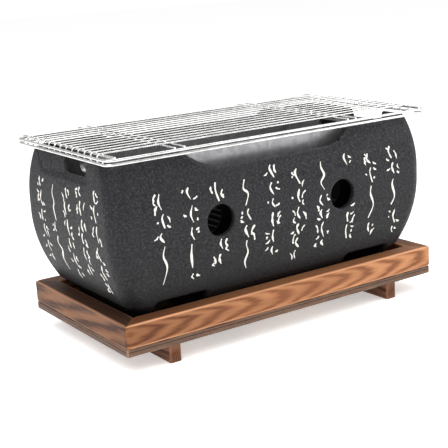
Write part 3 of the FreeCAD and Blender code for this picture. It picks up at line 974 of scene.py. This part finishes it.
def make_net(bend, beads, finish):
    """Two frames, the rods and wires between them, and the beads of their welds."""
    half_x = net_high[0] - net_centre_x - frame_wire / 2
    half_y = net_high[1] - frame_wire / 2
    levels = {}
    for name, high in (("lower", net_high), ("upper", upper_high)):
        levels[name] = z = high[2] - frame_wire / 2
        route = rectangle(half_x, half_y, z, net_centre_x)
        loop_wire = wire(bend, "net_%s_frame_wire" % name, route, chain(4, True), frame_wire,
                         net_corner_radius, finish)
        add_piece(loop_wire, finish, "net", "net_steel", "net_%s_frame" % name)

    rod_z = cross_high[2] - rod_wire / 2
    rod_end = cross_high[1]
    groups = (("net_cross_rod", [net_centre_x + x for x in cross_rod_x]),
              ("net_end_rod", [end_low[0] + rod_wire / 2, end_high[0] - rod_wire / 2]))
    for name, places in groups:
        points = [(x, side * rod_end, rod_z) for x in places for side in (-1, 1)]
        edges = [(2 * i, 2 * i + 1) for i in range(len(places))]
        rods = wire(bend, name + "_wires", points, edges, rod_wire, 0, finish)
        add_piece(rods, finish, "net", "net_steel", name + "s")

    top = long_high[2] - long_wire / 2
    first_y = long_low[1] + long_wire / 2
    pitch = -2 * first_y / (long_wire_count - 1)
    left, right = long_low[0] + long_wire / 2, long_high[0] - long_wire / 2
    route = [(left, first_y, long_low[2]), (left, first_y, top),
             (right, first_y, top), (right, first_y, long_low[2])]
    long_wires = wire(bend, "net_long_wire_row", route, chain(4), long_wire, hook_bend, finish,
                      long_wire_count, (0, pitch, 0))
    add_piece(long_wires, finish, "net", "net_steel", "net_long_wires")

    rod_places = groups[0][1] + groups[1][1]
    crossings = [(x, first_y + i * pitch, (top + rod_z) / 2)
                 for i in range(long_wire_count) for x in rod_places]
    crossings += [(x, side * half_y, (rod_z + levels["upper"]) / 2)
                  for side in (-1, 1) for x in rod_places]
    mesh = grow(beads, "net_weld_beads", crossings, [], Diameter=crossing_bead * MM, Finish=finish)
    add_piece(mesh, finish, "net", "net_steel")
    between = (levels["lower"] + levels["upper"]) / 2
    corners = [(net_centre_x + a * half_x, b * (half_y - net_corner_radius), between)
               for a in (-1, 1) for b in (-1, 1)]
    mesh = grow(beads, "net_frame_welds", corners, [], Diameter=corner_bead * MM, Finish=finish)
    add_piece(mesh, finish, "net", "net_steel")


def make_charcoal_grate(bend, finish):
    """Frame, bars and bent legs of the grate under the charcoal."""
    centre_x = (grate_low[0] + grate_high[0]) / 2
    half_x = grate_high[0] - centre_x - grate_wire / 2
    half_y = grate_high[1] - grate_wire / 2
    z = grate_high[2] - grate_wire / 2
    loop_wire = wire(bend, "charcoal_grate_frame_wire", rectangle(half_x, half_y, z, centre_x),
                     chain(4, True), grate_wire, grate_corner_radius, finish)
    add_piece(loop_wire, finish, "charcoal_grate", "grate_steel", "charcoal_grate_frame")

    bar_z = bars_high[2] - grate_bar / 2
    first_x = bars_low[0] + grate_bar / 2
    pitch = (bars_high[0] - bars_low[0] - grate_bar) / (grate_bar_count - 1)
    route = [(first_x, bars_low[1], bar_z), (first_x, bars_high[1], bar_z)]
    bars = wire(bend, "charcoal_grate_bar_row", route, chain(2), grate_bar, 0, finish,
                grate_bar_count, (pitch, 0, 0))
    add_piece(bars, finish, "charcoal_grate", "grate_steel", "charcoal_grate_bars")

    leg_x = legs_low[0] + grate_wire / 2
    leg_y = legs_high[1] - grate_wire / 2
    foot_z = legs_low[2] + grate_wire / 2
    route = [(leg_x, -leg_y, legs_high[2]), (leg_x, -leg_y, foot_z),
             (leg_x, leg_y, foot_z), (leg_x, leg_y, legs_high[2])]
    apart = legs_high[0] - legs_low[0] - grate_wire
    legs = wire(bend, "charcoal_grate_leg_wires", route, chain(4), grate_wire, grate_leg_bend,
                finish, 2, (apart, 0, 0))
    add_piece(legs, finish, "charcoal_grate", "grate_steel", "charcoal_grate_legs")


def make_brads(brads, finish):
    """Headed brads that hold the bottom panel to the boards, and the feet to the panel."""
    rail_y = (front_low[1] + front_high[1]) / 2
    rail_x = front_high[0] - tray_centre_x - (front_high[1] - front_low[1]) / 2
    spots = [(tray_centre_x + x, side * rail_y) for side in (-1, 1) for x in long_rail_brad_x]
    spots += [(tray_centre_x + side * rail_x, y) for side in (-1, 1) for y in end_rail_brad_y]
    low, high = node_box("rail_brads")
    points = [(x, y, low[2] - brad_proud) for x, y in spots]
    sizes = {"Head": brad_head * MM, "Head height": brad_head_height * MM,
             "Shank": brad_shank * MM, "Finish": finish}
    mesh = grow(brads, "rail_brad_set", points, [], Reach=(high[2] - low[2]) * MM, **sizes)
    add_piece(mesh, finish, "tray", "brad_steel", "rail_brads")

    foot_x = (foot_low[0] + foot_high[0]) / 2 - tray_centre_x
    low, high = node_box("foot_brads")
    points = [(tray_centre_x + side * foot_x, y, low[2] - brad_proud)
              for side in (-1, 1) for y in foot_brad_y]
    mesh = grow(brads, "foot_brad_set", points, [], Reach=(high[2] - low[2]) * MM, **sizes)
    add_piece(mesh, finish, "tray", "brad_steel", "foot_brads")


def make_liner():
    """The sheet-metal liner keeps its CAD shape, in its own finish."""
    finish = galvanised_sheet()
    for node in ("liner_wrapper", "liner_left_end", "liner_right_end"):
        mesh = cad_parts[node].data
        mesh.materials.clear()
        mesh.materials.append(finish)


# ---- stage ----

def area_light(name, place, target, size, power):
    """Square soft light at a place, turned to a target, in metres."""
    data = bpy.data.lights.new(name, "AREA")
    data.size, data.energy = size, power
    light = bpy.data.objects.new(name, data)
    light.location = place
    light.rotation_euler = (Vector(target) - Vector(place)).to_track_quat("-Z", "Y").to_euler()
    bpy.context.scene.collection.objects.link(light)


def make_stage():
    """Pale floor and backdrop, and three soft lights."""
    reach, floor_glow = 6.0, 0.42
    sky_light, sky_seen = 0.6, 1.05
    floor_mesh = bpy.data.meshes.new("floor")
    corners = [(-reach, -reach, 0), (reach, -reach, 0), (reach, reach, 0), (-reach, reach, 0)]
    floor_mesh.from_pydata(corners, [], [(0, 1, 2, 3)])
    floor = bpy.data.objects.new("floor", floor_mesh)
    bpy.context.scene.collection.objects.link(floor)
    material, _, shader, _ = new_material("pale_floor", 0.9)
    shader.inputs["Base Color"].default_value = (0.93, 0.93, 0.93, 1)
    shader.inputs["Emission Color"].default_value = (1, 1, 1, 1)
    shader.inputs["Emission Strength"].default_value = floor_glow
    floor_mesh.materials.append(material)

    world = bpy.data.worlds.new("studio")
    world.use_nodes = True
    backdrop = world.node_tree.nodes["Background"]
    backdrop.inputs["Color"].default_value = (1, 1, 1, 1)
    seen = put(world.node_tree, "ShaderNodeLightPath").outputs["Is Camera Ray"]
    strength = spread(world.node_tree, seen, 0.0, 1.0, sky_light, sky_seen)
    world.node_tree.links.new(strength, backdrop.inputs["Strength"])
    bpy.context.scene.world = world

    centre = (0, 0, 0.08)
    area_light("key", (-0.9, -0.7, 1.5), centre, 1.2, 22)
    area_light("top", (0.3, 0.4, 1.6), centre, 1.4, 14)
    area_light("right", (1.3, -0.9, 0.7), centre, 0.9, 8)


def make_camera():
    """Camera on a tilted head, at three quarters from the front left, in metres and degrees."""
    place, long_lens = (-0.4711, -0.6987, 0.2852), 83.40
    azimuth, elevation, roll = (math.radians(a) for a in (-33.523, 14.100, -3.221))
    back = Vector((math.sin(azimuth) * math.cos(elevation),
                   -math.cos(azimuth) * math.cos(elevation), math.sin(elevation)))
    level_right = (-back).cross(Vector((0, 0, 1))).normalized()
    level_up = level_right.cross(-back)
    right = math.cos(roll) * level_right + math.sin(roll) * level_up
    up = -math.sin(roll) * level_right + math.cos(roll) * level_up
    data = bpy.data.cameras.new("camera")
    data.sensor_width, data.lens = 36.0, long_lens
    camera = bpy.data.objects.new("camera", data)
    turned = Matrix((right, up, back)).transposed().to_4x4()
    camera.matrix_world = Matrix.Translation(place) @ turned
    bpy.context.scene.collection.objects.link(camera)
    bpy.context.scene.camera = camera


def main():
    make_camera()
    make_stage()
    bpy.context.scene.view_settings.view_transform = "Standard"
    make_fire_body()
    make_brush_marks(brush_paint())
    make_tray()
    bend, beads, brads = bent_wire_tree(), weld_tree(), brad_tree()
    bright = drawn_steel("net_steel", (0.86, 0.86, 0.85), (0.62, 0.61, 0.6), 0.24)
    make_net(bend, beads, bright)
    # blackened grate steel, darkened further as painted shade so the bars seen through the vents
    # stay dark
    grate_black_and_shade = drawn_steel("grate_steel", (0.03, 0.028, 0.026), (0.012, 0.011, 0.01), 0.8)
    make_charcoal_grate(bend, grate_black_and_shade)
    grey = drawn_steel("brad_steel", (0.55, 0.54, 0.52), (0.25, 0.23, 0.21), 0.35)
    make_brads(brads, grey)
    make_liner()


main()
